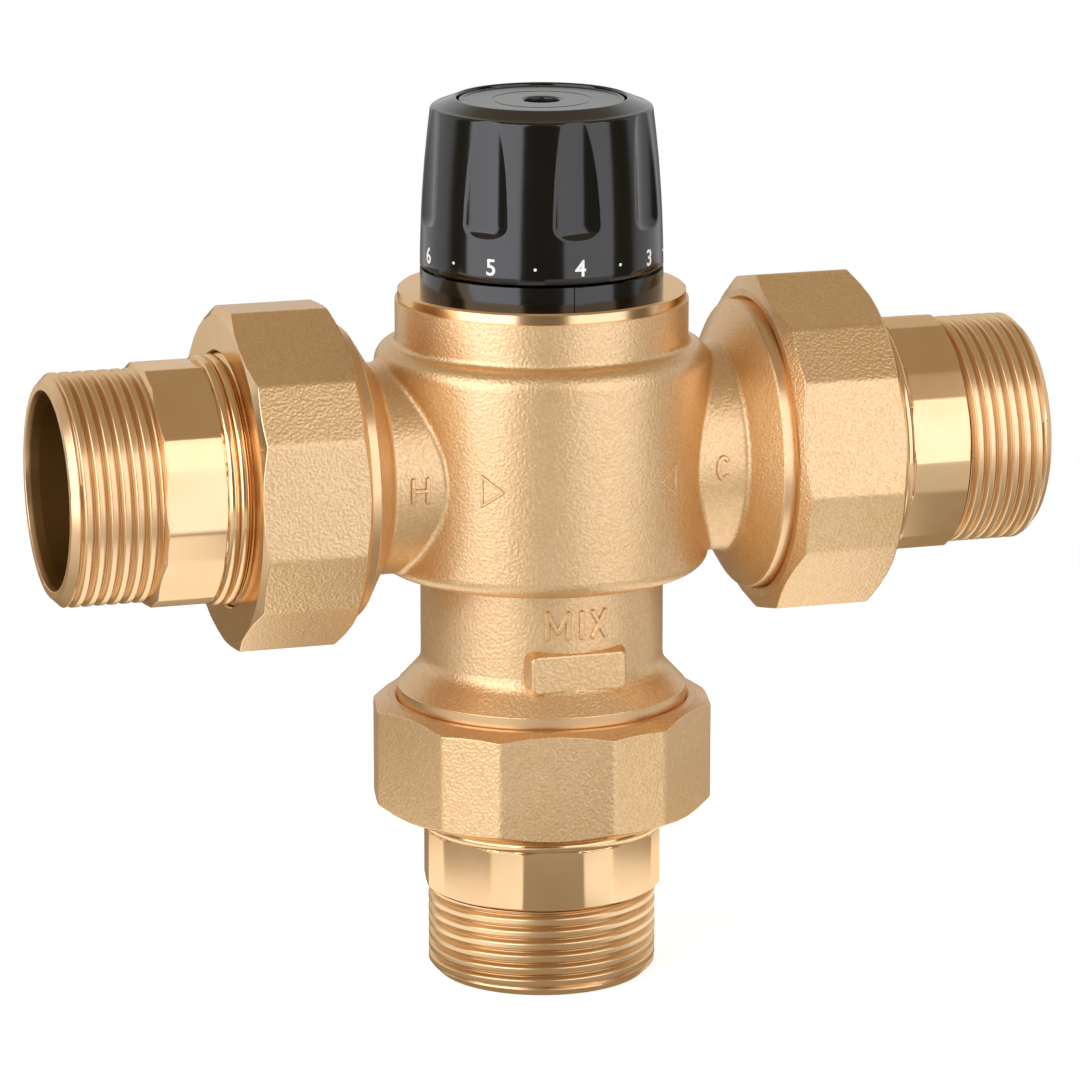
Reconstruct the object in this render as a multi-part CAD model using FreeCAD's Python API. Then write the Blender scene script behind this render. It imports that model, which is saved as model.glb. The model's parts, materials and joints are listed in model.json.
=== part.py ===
"""Thermostatic mixing valve with three union connections, in millimetres.

The valve stands on the end face of its mixed outlet: the origin is the centre of that face, +Z runs up
the outlet and spindle axis, +X runs from the hot branch to the cold branch, and the front is at -Y.
Shapes are built round the crossing of the inlet axis and the spindle axis, then lifted onto the outlet.
A union is built once along +Z from the free end of its tailpiece, and is then turned onto each branch.
"""
import FreeCAD, Part
import math
import os

V = FreeCAD.Vector
UP = V(0, 0, 1)

# ---------------------------------------------------------------- driving dimensions
# bare length of the necks, between the barrel and the cone of each connection boss
branch_neck_length = 2.8
outlet_neck_length = 18.1

# fits and running clearances
slide_fit = 0.05          # radial, shafts and slides
thread_fit = 0.05         # radial, screwed pieces drawn as plain cylinders
loose_fit = 0.1
rotor_gap = 0.4           # between the turning knob and what stands still

# tailpiece
tail_thread_radius = 41.91 / 2      # G 1 1/4
tail_thread_length = 16.3
tail_chamfer = 1.65
tail_bore_radius = 17.0
tail_bore_chamfer = 0.9
wrench_length = 11.5
wrench_corner_radius = 22.1
wrench_wide_half_angle = 14.5
wrench_facets = 8
bead_radius = 1.0
bead_count = 2
shank_radius = 22.4
tail_flange_radius = 26.2
tail_flange_thickness = 3.5
check_bore_radius = 18.8
check_bore_depth = 21.0

# union nut
nut_wall = 2.888          # over the thread, at the middle of a wide facet
nut_wide_half_angle = 19.35
nut_facets = 6
nut_lip_thickness = 4.0
nut_lip_bore_radius = 23.0
nut_length = 20.2
nut_chamfer_slope = 30.0
nut_open_face_drop = 2.8  # from the corners to the flat end face
nut_lip_face_drop = 1.9
nut_mouth_chamfer = 0.5
nut_clocking = {"hot": -3.0, "cold": 12.0, "mixed": -12.0}

# gasket
gasket_thickness = 2.0
gasket_inner_radius = 18.0
gasket_outer_radius = 26.0

# body: connection bosses (G 1 3/4 drawn at its mean radius), cones and necks
boss_radius = 26.5
boss_rim = 2.0            # bare rim of the boss past the nut
boss_chamfer = 0.8
boss_edge = 0.3
cone_length = 4.6
branch_neck_radius = 19.2
branch_bore_radius = 16.0
branch_bore_inner_end = 30.0
outlet_neck_radius = 22.2
outlet_bore_radius = 18.9
branch_cone_fillet = 1.5
outlet_cone_fillet = 4.0

# body: barrel and top neck
barrel_radius = 30.4
barrel_bottom = -19.6
barrel_bottom_round = 3.0
shoulder_top = 21.7
shoulder_round = 3.4
top_neck_radius = 26.6
top_neck_end = 29.7
shoulder_fillet = 1.2
branch_fillet = 1.3
neck_inner_end = 12.0      # where the necks end inside the barrel, from the crossing

# body: water passages
gallery_radius = 26.6
gallery_height = 11.5
cold_gallery_top = 16.0
web_half_thickness = 3.0
port_half_width = 12.0
port_overlap = 5.0
top_bore_radius = 23.0
seat_bore_radius = 12.6
seat_lip_width = 2.0
seat_lip_height = 2.5
outlet_roof_thickness = 3.0

# regulating slide
slide_radius = 14.0
slide_wall = 2.0
slide_half_length = 10.3
seat_gap = 1.7            # opening at each end of the slide at rest
slide_seal_wire = 1.0
slide_groove_depth = 2.05
slide_groove_half_width = 1.5
hub_top = -5.0
hub_thickness = 3.0
hub_radius = 10.2
spoke_width = 2.6
spoke_count = 4

# sensing element
bulb_radius = 7.5
bulb_length = 22.0
bulb_end_round = 3.0
sensor_flange_radius = 9.0
sensor_flange_thickness = 3.0
sensor_stem_radius = 4.2
sensor_stem_length = 10.0
sensor_bore_depth = 12.0
pin_radius = 2.0
pin_below_stem_mouth = 9.0

# return spring and its seat
return_spring_radius = 9.0
return_spring_wire = 0.8
return_spring_coils = 6
spring_seat_top = -36.0
spring_seat_thickness = 3.0
spring_seat_hub_radius = 11.0
spring_seat_hole_radius = 8.2
spring_seat_ring_width = 2.0
retainer_thickness = 0.9
retainer_depth = 0.9
retainer_width = 2.2

# bonnet
bonnet_flange_radius = 26.1
bonnet_flange_thickness = 2.0
bonnet_edge_chamfer = 0.35
bonnet_spigot_length = 12.7
bonnet_spigot_wall = 3.4
bonnet_pocket_top = 25.0
bonnet_guide_radius = 11.0
bonnet_guide_wall = 3.6
bonnet_ceiling = 33.05
gland_radius = 12.9
gland_top = 44.0
bonnet_seal_wire = 0.85
bonnet_seal_level = 20.4
bonnet_groove_half_width = 1.3

# spindle
spindle_radius = 6.0
spindle_screw_radius = 7.0
spindle_screw_bottom = 22.8
spindle_collar_radius = 8.5
spindle_collar_bottom = 30.6
spindle_shoulder = 46.0
spindle_top = 59.0
spindle_head_radius = 5.0
spindle_flat_distance = 4.2
spindle_seal_levels = (36.5, 40.3)
spindle_seal_wire = 0.66
spindle_groove_half_width = 0.9
clip_thickness = 0.8
clip_radius = 8.0
clip_groove_radius = 5.0
clip_mouth = 6.0

# adjuster carrier, overtravel cup and spring
carrier_bottom = 12.4
carrier_travel_stop = 0.75     # room under the spindle collar
carrier_cavity_radius = 8.6
carrier_cavity_top = 23.5
key_width = 3.0
key_height = 0.9
key_bottom = 16.0
key_length = 11.0
cup_bottom = 14.0
cup_flange_thickness = 1.5
cup_post_radius = 5.0
cup_post_length = 3.5
cup_socket_depth = 2.5
cup_clip_thickness = 0.8
cup_clip_inner_radius = 7.2
cup_clip_groove_depth = 0.7
overtravel_spring_radius = 7.75
overtravel_spring_wire = 0.6
overtravel_spring_coils = 4

# index ring
ring_radius = 22.0
ring_height = 3.8
ring_floor = 1.0
ring_wall = 2.2
index_rib_width = 1.65
index_rib_height = 0.35
stop_inner_radius = 17.3
stop_half_angle = 11.0
stop_height = 2.4

# knob
knob_top = 66.3
knob_crown_radius = 17.2
knob_edge_radius = 20.25
knob_edge_level = 63.0
knob_belly_radius = 21.55
knob_belly_level = 49.5
knob_skirt_radius = 22.0
knob_skirt_wall = 2.1
knob_skirt_depth = 6.0
knob_cavity_radius = 16.8
knob_roof_thickness = 3.3
knob_hub_radius = 7.2
knob_rib_thickness = 1.6
knob_rib_height = 7.0
knob_rib_count = 4
cap_radius = 15.2
cap_recess_depth = 1.5
cap_thickness = 1.1
cap_hole_radius = 3.2
flute_count = 8
flute_radius = 5.0
flute_start = 47.2
flute_depth_low = 19.0         # radius of the flute's bottom at its start
flute_depth_high = 19.65       # and at the knob's top
flute_end_round = 3.0

# knob screw
screw_radius = 2.0
screw_head_radius = 3.1
screw_head_height = 2.4
screw_seat_thickness = 2.5
screw_bottom = 52.0
screw_socket_width = 2.5
screw_socket_depth = 1.3

# check valve cartridge, measured from the free end of its tailpiece
check_housing_wall = 2.3
check_housing_start = 20.0
check_lip_radius = 20.3
check_lip_thickness = 1.2
check_seat_radius = 12.5
check_seat_thickness = 2.5
check_disc_radius = 14.6
check_disc_thickness = 2.0
check_seal_radius = 13.6
check_seal_wire = 0.68
check_seal_groove_depth = 0.93
check_stem_radius = 2.0
check_travel = 4.0
check_guide_thickness = 2.2
check_guide_hub_radius = 6.5
check_guide_ring_width = 1.8
check_spring_radius = 5.5
check_spring_wire = 0.4
check_spring_coils = 6

# strainer
strainer_radius = 15.6
strainer_wall = 0.5
strainer_length = 15.0
strainer_rim_thickness = 0.8
strainer_slot_count = 10
strainer_slot_width = 2.0
strainer_slot_length = 9.0

# ---------------------------------------------------------------- levels that follow from them
wrench_end = tail_thread_length + wrench_length
nut_start = wrench_end + 2 * bead_radius * bead_count + 0.2
flange_start = nut_start + nut_lip_thickness
tail_end = flange_start + tail_flange_thickness
boss_end = tail_end + gasket_thickness
nut_end = nut_start + nut_length
cone_start = nut_end + boss_rim
cone_end = cone_start + cone_length
half_length = barrel_radius + branch_neck_length + cone_end      # from the axes' crossing
outlet_length = outlet_neck_length + cone_end - barrel_bottom

nut_bore_radius = boss_radius + thread_fit
nut_corner_radius = (nut_bore_radius + nut_wall) / math.cos(math.radians(nut_wide_half_angle))
nut_open_face_radius = nut_corner_radius - nut_open_face_drop
nut_lip_face_radius = nut_corner_radius - nut_lip_face_drop

bonnet_top = top_neck_end + bonnet_flange_thickness
ring_top = bonnet_top + ring_height
knob_bottom = ring_top + rotor_gap
cap_floor = knob_top - cap_recess_depth
knob_cavity_top = cap_floor - knob_roof_thickness
cold_seat_level = slide_half_length + seat_gap
hot_gallery_floor = -cold_seat_level - seat_lip_height
hub_bottom = hub_top - hub_thickness
stem_mouth = hub_top + sensor_flange_thickness + sensor_stem_length
pin_bottom = stem_mouth - pin_below_stem_mouth
cup_flange_top = cup_bottom + cup_flange_thickness
spring_seat_bottom = spring_seat_top - spring_seat_thickness
check_guide_start = tail_end - check_lip_thickness - check_guide_thickness
check_seat_face = check_housing_start + check_seat_thickness
check_disc_start = check_seat_face + 0.5
check_disc_end = check_disc_start + check_disc_thickness
check_housing_radius = check_bore_radius - loose_fit
check_inner_radius = check_housing_radius - check_housing_wall


# ---------------------------------------------------------------- helpers
def turned(*steps):
    """Revolve an outline about Z. A step is a point (r, z), or a pair of points: mid and end of an arc."""
    def at(p):
        return V(p[0], 0, p[1])

    here = steps[0]
    edges = []
    for step in steps[1:] + (steps[0],):
        if isinstance(step[0], tuple):
            mid, end = step
            edges.append(Part.Arc(at(here), at(mid), at(end)).toShape())
            here = end
        elif math.dist(here, step) > 1e-9:
            edges.append(Part.makeLine(at(here), at(step)))
            here = step
    return Part.Face(Part.Wire(edges)).revolve(V(0, 0, 0), UP, 360)


def bend(centre, radius, start, end):
    """Arc step of an outline. Angles in degrees, from the +R direction towards +Z."""
    def at(angle):
        turn = math.radians(angle)
        return centre[0] + radius * math.cos(turn), centre[1] + radius * math.sin(turn)

    return at((start + end) / 2), at(end)


def disc(radius, low, high):
    return Part.makeCylinder(radius, high - low, V(0, 0, low))


def tube(outer, inner, low, high):
    return turned((inner, low), (outer, low), (outer, high), (inner, high))


def torus(mean_radius, wire, level):
    return Part.makeTorus(mean_radius, wire, V(0, 0, level))


def block(x_low, x_high, y_half, z_low, z_high):
    return Part.makeBox(x_high - x_low, 2 * y_half, z_high - z_low, V(x_low, -y_half, z_low))


def around(shape, count, first=0.0):
    """Copies of a shape, evenly spaced about Z."""
    copies = []
    for i in range(count):
        copy = shape.copy()
        copy.rotate(V(0, 0, 0), UP, first + i * 360.0 / count)
        copies.append(copy)
    return copies


def facetted(corner_radius, wide_half_angle, count, low, high):
    """Prism with wide facets and narrow facets between them. One wide facet faces -Y."""
    points = []
    for i in range(count):
        for side in (-1, 1):
            angle = math.radians(-90 + i * 360.0 / count + side * wide_half_angle)
            points.append(V(corner_radius * math.cos(angle), corner_radius * math.sin(angle), low))
    points.append(points[0])
    return Part.Face(Part.makePolygon(points)).extrude(V(0, 0, high - low))


def coil(mean_radius, wire, low, high, turns):
    """Spring from low to high, made of leaning half turns that run into each other."""
    rise = (high - low - 2 * wire) / (2 * turns)
    lean = math.degrees(math.atan2(rise / 2, mean_radius))
    halves = []
    for i in range(2 * turns):
        half = Part.makeTorus(math.hypot(mean_radius, rise / 2), wire, V(0, 0, 0), UP, 0, 360, 180)
        half.rotate(V(0, 0, 0), UP, 180 * (i % 2))
        half.rotate(V(0, 0, 0), V(0, 1, 0), lean if i % 2 == 0 else -lean)
        half.translate(V(0, 0, low + wire + (i + 0.5) * rise))
        halves.append(half)
    return halves[0].fuse(halves[1:])


def sector(inner, outer, half_angle, low, high):
    """Piece of a ring, centred on -Y."""
    face = tube(outer, inner, low, high)
    reach = 2 * outer
    spread = math.radians(half_angle)
    corners = [V(0, 0, low), V(-reach * math.sin(spread), -reach * math.cos(spread), low),
               V(reach * math.sin(spread), -reach * math.cos(spread), low), V(0, 0, low)]
    return face.common(Part.Face(Part.makePolygon(corners)).extrude(V(0, 0, high - low)))


def on_branch(shape, branch):
    """Carry a shape built along +Z from a union's free end to its branch."""
    placed = shape.copy()
    if branch == "hot":
        placed.rotate(V(0, 0, 0), V(0, 1, 0), 90)
        placed.translate(V(-half_length, 0, 0))
    elif branch == "cold":
        placed.rotate(V(0, 0, 0), V(0, 1, 0), -90)
        placed.translate(V(half_length, 0, 0))
    else:
        placed.translate(V(0, 0, -outlet_length))
    return placed


# ---------------------------------------------------------------- union pieces
def tailpiece(clocking):
    rim = tail_thread_radius - tail_chamfer
    mouth = tail_bore_radius + tail_bore_chamfer
    valley = shank_radius - bead_radius
    outline = [(tail_bore_radius, tail_bore_chamfer), (mouth, 0), (rim, 0),
               (tail_thread_radius, tail_chamfer), (tail_thread_radius, tail_thread_length),
               (valley, tail_thread_length), (valley, wrench_end)]
    for i in range(bead_count):
        outline.append(bend((valley, wrench_end + (2 * i + 1) * bead_radius), bead_radius, -90, 90))
    beads_end = wrench_end + 2 * bead_radius * bead_count
    step = beads_end + (shank_radius - valley)
    bore_step = tail_end - check_bore_depth
    outline += [(shank_radius, step), (shank_radius, flange_start), (tail_flange_radius, flange_start),
                (tail_flange_radius, tail_end), (check_lip_radius + loose_fit, tail_end),
                (check_lip_radius + loose_fit, tail_end - check_lip_thickness),
                (check_bore_radius, tail_end - check_lip_thickness), (check_bore_radius, bore_step),
                (tail_bore_radius, bore_step - (check_bore_radius - tail_bore_radius))]
    flats = facetted(wrench_corner_radius, wrench_wide_half_angle, wrench_facets,
                     tail_thread_length, wrench_end)
    lathe = turned((tail_bore_radius, tail_thread_length), (wrench_corner_radius - 0.9, tail_thread_length),
                   (wrench_corner_radius, tail_thread_length + 0.6), (wrench_corner_radius, wrench_end - 0.4),
                   (wrench_corner_radius - 0.6, wrench_end), (tail_bore_radius, wrench_end))
    hollow = disc(check_bore_radius, bore_step, wrench_end)
    hollow = hollow.fuse(turned((0, tail_thread_length), (tail_bore_radius, tail_thread_length),
                                (tail_bore_radius, bore_step - (check_bore_radius - tail_bore_radius)),
                                (check_bore_radius, bore_step), (0, bore_step)))
    piece = turned(*outline).fuse(flats.common(lathe).cut(hollow)).removeSplitter()
    piece.rotate(V(0, 0, 0), UP, clocking)
    return piece


def union_nut(clocking):
    slope = math.tan(math.radians(nut_chamfer_slope))
    prism = facetted(nut_corner_radius, nut_wide_half_angle, nut_facets, nut_start, nut_end)
    reach = nut_corner_radius + 1
    lathe = turned((0, nut_start), (nut_lip_face_radius, nut_start),
                   (reach, nut_start + (reach - nut_lip_face_radius) * slope),
                   (reach, nut_end - (reach - nut_open_face_radius) * slope),
                   (nut_open_face_radius, nut_end), (0, nut_end))
    bore = turned((0, nut_start), (nut_lip_bore_radius + nut_mouth_chamfer, nut_start),
                  (nut_lip_bore_radius, nut_start + nut_mouth_chamfer),
                  (nut_lip_bore_radius, flange_start), (nut_bore_radius, flange_start),
                  (nut_bore_radius, nut_end - nut_mouth_chamfer), (nut_bore_radius + nut_mouth_chamfer, nut_end),
                  (0, nut_end))
    nut = prism.common(lathe).cut(bore)
    nut.rotate(V(0, 0, 0), UP, clocking)
    return nut


def gasket():
    return tube(gasket_outer_radius, gasket_inner_radius, tail_end, boss_end)


def strainer():
    outer, inner = strainer_radius, strainer_radius - strainer_wall
    bottom = boss_end + strainer_length
    cup = turned((inner, boss_end), (check_lip_radius, boss_end),
                 (check_lip_radius, boss_end + strainer_rim_thickness),
                 (outer, boss_end + strainer_rim_thickness), (outer, bottom), (0, bottom),
                 (0, bottom - strainer_wall), (inner, bottom - strainer_wall))
    slot_start = boss_end + 3 * strainer_rim_thickness
    slot = Part.makeBox(strainer_slot_width, outer, strainer_slot_length,
                        V(-strainer_slot_width / 2, outer / 2, slot_start))
    return cup.cut(around(slot, strainer_slot_count))


def check_housing():
    outer, inner = check_housing_radius, check_inner_radius
    return turned((check_seat_radius, check_housing_start), (outer, check_housing_start),
                  (outer, tail_end - check_lip_thickness), (check_lip_radius, tail_end - check_lip_thickness),
                  (check_lip_radius, tail_end), (inner, tail_end), (inner, check_seat_face),
                  (check_seat_radius, check_seat_face))


def check_guide():
    ring = tube(check_inner_radius, check_inner_radius - check_guide_ring_width,
                check_guide_start, check_guide_start + check_guide_thickness)
    hub = disc(check_guide_hub_radius, check_guide_start, check_guide_start + check_guide_thickness)
    spoke = block(0, check_inner_radius - check_guide_ring_width / 2, spoke_width / 2,
                  check_guide_start, check_guide_start + check_guide_thickness)
    bore = disc(check_stem_radius + slide_fit, check_guide_start - 1, tail_end)
    return ring.fuse([hub] + around(spoke, spoke_count)).cut(bore).removeSplitter()


def check_poppet():
    groove_in = check_seal_radius - check_seal_wire - 0.02
    groove_out = check_seal_radius + check_seal_wire + 0.02
    groove_top = check_disc_start + check_seal_groove_depth
    stem_end = check_guide_start + check_guide_thickness + 0.5
    nose = 0.7 * check_seat_radius
    return turned((0, check_disc_start - 3), (nose / 2, check_disc_start - 3), (nose, check_disc_start),
                  (groove_in, check_disc_start), (groove_in, groove_top), (groove_out, groove_top),
                  (groove_out, check_disc_start), (check_disc_radius, check_disc_start),
                  (check_disc_radius, check_disc_end), (check_stem_radius, check_disc_end),
                  (check_stem_radius, stem_end), (0, stem_end))


def check_seal():
    return torus(check_seal_radius, check_seal_wire, check_seat_face + check_seal_wire + slide_fit)


def check_spring():
    return coil(check_spring_radius, check_spring_wire, check_disc_end, check_guide_start, check_spring_coils)


# ---------------------------------------------------------------- body
def connection_boss(reach, neck_radius, fillet, inner_end):
    """Boss, cone and neck of one branch, along +Z from the union's free end."""
    end = reach - inner_end
    edge = boss_edge
    slope = math.atan2(boss_radius - edge - neck_radius, cone_length - edge)
    tangent = fillet * math.tan(slope / 2)
    lead = V(neck_radius + tangent * math.sin(slope), 0, cone_end - tangent * math.cos(slope))
    return turned((0, boss_end), (boss_radius - boss_chamfer, boss_end), (boss_radius, boss_end + boss_chamfer),
                  (boss_radius, cone_start), (boss_radius - edge, cone_start + edge), (lead.x, lead.z),
                  bend((neck_radius + fillet, cone_end + tangent), fillet, 180 + math.degrees(slope), 180),
                  (neck_radius, end), (0, end))


def barrel():
    """Barrel with a rounded bottom edge, and a rounded shoulder that runs into the top neck."""
    r, low = barrel_radius, barrel_bottom
    round_centre = (r - shoulder_round, shoulder_top - shoulder_round)
    across = top_neck_radius + shoulder_fillet - round_centre[0]
    rise = math.sqrt((shoulder_round + shoulder_fillet) ** 2 - across ** 2)
    fillet_centre = (top_neck_radius + shoulder_fillet, round_centre[1] + rise)
    meet = math.degrees(math.atan2(rise, across))
    return turned((0, low), (r - barrel_bottom_round, low),
                  bend((r - barrel_bottom_round, low + barrel_bottom_round), barrel_bottom_round, -90, 0),
                  (r, round_centre[1]), bend(round_centre, shoulder_round, 0, meet),
                  bend(fillet_centre, shoulder_fillet, 180 + meet, 180),
                  (top_neck_radius, top_neck_end), (0, top_neck_end))


def water_ways():
    bore = outlet_bore_radius
    groove_low = spring_seat_bottom - retainer_thickness
    hot_floor = hot_gallery_floor
    roof = hot_floor - outlet_roof_thickness
    seat_out = seat_bore_radius + seat_lip_width
    web = web_half_thickness
    slide_bore = slide_radius + slide_fit
    groove = slide_bore + slide_groove_depth
    half = slide_groove_half_width
    below = -outlet_length
    ways = turned((0, below), (bore, below), (bore, groove_low), (bore + retainer_depth, groove_low),
                  (bore + retainer_depth, spring_seat_bottom), (bore, spring_seat_bottom), (bore, roof),
                  (seat_bore_radius, roof), (seat_bore_radius, -cold_seat_level), (seat_out, -cold_seat_level),
                  (seat_out, hot_floor), (gallery_radius, hot_floor), (gallery_radius, hot_floor + gallery_height),
                  (slide_bore, -web), (slide_bore, -half), (groove, -half), (groove, half), (slide_bore, half),
                  (slide_bore, web), (gallery_radius, web + (cold_gallery_top - web) * 0.05),
                  (gallery_radius, cold_gallery_top), (top_bore_radius, cold_gallery_top),
                  (top_bore_radius, top_neck_end + 1), (0, top_neck_end + 1))
    inlet = disc(branch_bore_radius, 0, half_length - branch_bore_inner_end)
    recess = disc(check_lip_radius + loose_fit, boss_end, boss_end + strainer_rim_thickness)
    shape_limit = Part.makeCylinder(branch_bore_radius - loose_fit, 2 * half_length,
                                    V(-half_length, 0, 0), V(1, 0, 0))
    outer = branch_bore_inner_end + port_overlap
    hot_port = block(-outer, -gallery_radius + port_overlap, port_half_width, hot_floor, -web)
    cold_port = block(gallery_radius - port_overlap, outer, port_half_width, web, cold_gallery_top)
    ports = [hot_port.common(shape_limit), cold_port.common(shape_limit)]
    bores = [on_branch(inlet.fuse(recess), name) for name in ("hot", "cold")]
    return ways.fuse(bores + ports)


def valve_body():
    inlet_boss = connection_boss(half_length, branch_neck_radius, branch_cone_fillet, neck_inner_end)
    outlet_boss = connection_boss(outlet_length, outlet_neck_radius, outlet_cone_fillet, neck_inner_end)
    casting = barrel().fuse([on_branch(inlet_boss, "hot"), on_branch(inlet_boss, "cold"),
                             on_branch(outlet_boss, "mixed")]).removeSplitter()
    crease = [edge for edge in casting.Edges if isinstance(edge.Curve, Part.BSplineCurve)]
    return casting.makeFillet(branch_fillet, crease).cut(water_ways())


# ---------------------------------------------------------------- regulating pieces in the barrel
def regulating_slide():
    inner = slide_radius - slide_wall
    sleeve = tube(slide_radius, inner, -slide_half_length, slide_half_length)
    hub = tube(hub_radius, bulb_radius + slide_fit, hub_bottom, hub_top)
    spoke = block(hub_radius - 1, inner + slide_wall / 2, spoke_width / 2, hub_bottom, hub_top)
    return sleeve.fuse([hub] + around(spoke, spoke_count, 45)).removeSplitter()


def slide_seal():
    return torus(slide_radius + 0.07 + slide_seal_wire, slide_seal_wire, 0)


def sensor_element():
    top = hub_top + sensor_flange_thickness
    low = hub_top - bulb_length
    flat = bulb_radius - bulb_end_round
    body = turned((0, low), (flat, low), bend((flat, low + bulb_end_round), bulb_end_round, -90, 0),
                  (bulb_radius, hub_top), (sensor_flange_radius, hub_top), (sensor_flange_radius, top),
                  (sensor_stem_radius, top), (sensor_stem_radius, stem_mouth), (0, stem_mouth))
    return body.cut(disc(pin_radius + slide_fit, stem_mouth - sensor_bore_depth, stem_mouth + 1))


def sensor_pin():
    return disc(pin_radius, pin_bottom, cup_bottom + cup_socket_depth)


def return_spring():
    return coil(return_spring_radius, return_spring_wire, spring_seat_top, hub_bottom, return_spring_coils)


def spring_seat():
    outer = outlet_bore_radius - loose_fit
    ring = tube(outer, outer - spring_seat_ring_width, spring_seat_bottom, spring_seat_top)
    hub = tube(spring_seat_hub_radius, spring_seat_hole_radius, spring_seat_bottom, spring_seat_top)
    spoke = block(spring_seat_hub_radius - 1, outer - spring_seat_ring_width / 2, spoke_width / 2,
                  spring_seat_bottom, spring_seat_top)
    return ring.fuse([hub] + around(spoke, spoke_count, 45)).removeSplitter()


def open_ring(outer, inner, low, thickness, mouth):
    """Sprung retaining ring with a gap at the back."""
    ring = tube(outer, inner, low, low + thickness)
    gap = Part.makeBox(mouth, 2 * outer, thickness, V(-mouth / 2, 0, low))
    return ring.cut(gap)


def spring_seat_retainer():
    outer = outlet_bore_radius + retainer_depth
    return open_ring(outer, outer - retainer_width, spring_seat_bottom - retainer_thickness,
                     retainer_thickness, clip_mouth)


# ---------------------------------------------------------------- bonnet, spindle and adjuster
def bonnet():
    guide_out = bonnet_guide_radius + bonnet_guide_wall
    spigot = top_bore_radius - loose_fit
    spigot_low = top_neck_end - bonnet_spigot_length
    groove = top_bore_radius - 2 * bonnet_seal_wire - loose_fit / 2
    g_low = bonnet_seal_level - bonnet_groove_half_width
    g_high = bonnet_seal_level + bonnet_groove_half_width
    e = bonnet_edge_chamfer
    gland_bore = spindle_radius + slide_fit
    shell = turned((bonnet_guide_radius, cold_seat_level), (guide_out, cold_seat_level),
                   (guide_out, bonnet_pocket_top), (spigot - bonnet_spigot_wall, bonnet_pocket_top),
                   (spigot - bonnet_spigot_wall, spigot_low), (spigot, spigot_low), (spigot, g_low),
                   (groove, g_low), (groove, g_high), (spigot, g_high), (spigot, top_neck_end),
                   (bonnet_flange_radius, top_neck_end), (bonnet_flange_radius, bonnet_top - e),
                   (bonnet_flange_radius - e, bonnet_top), (gland_radius, bonnet_top),
                   (gland_radius, gland_top), (gland_bore, gland_top), (gland_bore, bonnet_ceiling),
                   (bonnet_guide_radius, bonnet_ceiling))
    slot = block(0, bonnet_guide_radius + key_height + loose_fit, key_width / 2 + loose_fit,
                 cold_seat_level, bonnet_ceiling)
    return shell.cut(around(slot, 2))


def bonnet_seal():
    return torus(top_bore_radius - bonnet_seal_wire - 0.02, bonnet_seal_wire, bonnet_seal_level)


def adjusting_spindle():
    r = spindle_radius
    groove = r + slide_fit - 2 * spindle_seal_wire - 0.03
    outline = [(0, spindle_screw_bottom), (spindle_screw_radius, spindle_screw_bottom),
               (spindle_screw_radius, spindle_collar_bottom), (spindle_collar_radius, spindle_collar_bottom),
               (spindle_collar_radius, bonnet_ceiling - slide_fit), (r, bonnet_ceiling - slide_fit)]
    for level in spindle_seal_levels:
        low, high = level - spindle_groove_half_width, level + spindle_groove_half_width
        outline += [(r, low), (groove, low), (groove, high), (r, high)]
    clip_low = gland_top + loose_fit
    outline += [(r, clip_low), (clip_groove_radius, clip_low),
                (clip_groove_radius, clip_low + clip_thickness), (r, clip_low + clip_thickness),
                (r, spindle_shoulder), (spindle_head_radius, spindle_shoulder),
                (spindle_head_radius, spindle_top), (0, spindle_top)]
    beyond = spindle_head_radius + 1
    flat = Part.makeBox(2 * beyond, beyond, spindle_top - spindle_shoulder,
                        V(-beyond, spindle_flat_distance, spindle_shoulder))
    tapped = disc(screw_radius + thread_fit, screw_bottom - 1, spindle_top)
    return turned(*outline).cut(around(flat, 2) + [tapped])


def spindle_seal(level):
    wire = spindle_seal_wire
    return torus(spindle_radius + slide_fit - 0.02 - wire, wire, level)


def spindle_clip():
    return open_ring(clip_radius, clip_groove_radius + 0.02, gland_top + loose_fit, clip_thickness, clip_mouth)


def adjuster_carrier():
    outer = bonnet_guide_radius - loose_fit
    top = spindle_collar_bottom - carrier_travel_stop
    groove = carrier_cavity_radius + cup_clip_groove_depth
    groove_low = cup_bottom - cup_clip_thickness
    screw_bore = spindle_screw_radius + thread_fit
    sleeve = turned((carrier_cavity_radius, carrier_bottom), (outer, carrier_bottom), (outer, top),
                    (screw_bore, top), (screw_bore, carrier_cavity_top),
                    (carrier_cavity_radius, carrier_cavity_top), (carrier_cavity_radius, cup_bottom),
                    (groove, cup_bottom), (groove, groove_low), (carrier_cavity_radius, groove_low))
    key = block(outer - 0.5, bonnet_guide_radius + key_height, key_width / 2, key_bottom, key_bottom + key_length)
    return sleeve.fuse(around(key, 2)).removeSplitter()


def overtravel_cup():
    flange = carrier_cavity_radius - loose_fit
    top = cup_flange_top + cup_post_length
    cup = turned((0, cup_bottom), (flange, cup_bottom), (flange, cup_flange_top),
                 (cup_post_radius, cup_flange_top), (cup_post_radius, top), (0, top))
    return cup.cut(disc(pin_radius + slide_fit, cup_bottom, cup_bottom + cup_socket_depth))


def cup_clip():
    return open_ring(carrier_cavity_radius + cup_clip_groove_depth - 0.02, cup_clip_inner_radius,
                     cup_bottom - cup_clip_thickness, cup_clip_thickness, clip_mouth)


def overtravel_spring():
    return coil(overtravel_spring_radius, overtravel_spring_wire, cup_flange_top, carrier_cavity_top,
                overtravel_spring_coils)


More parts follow.
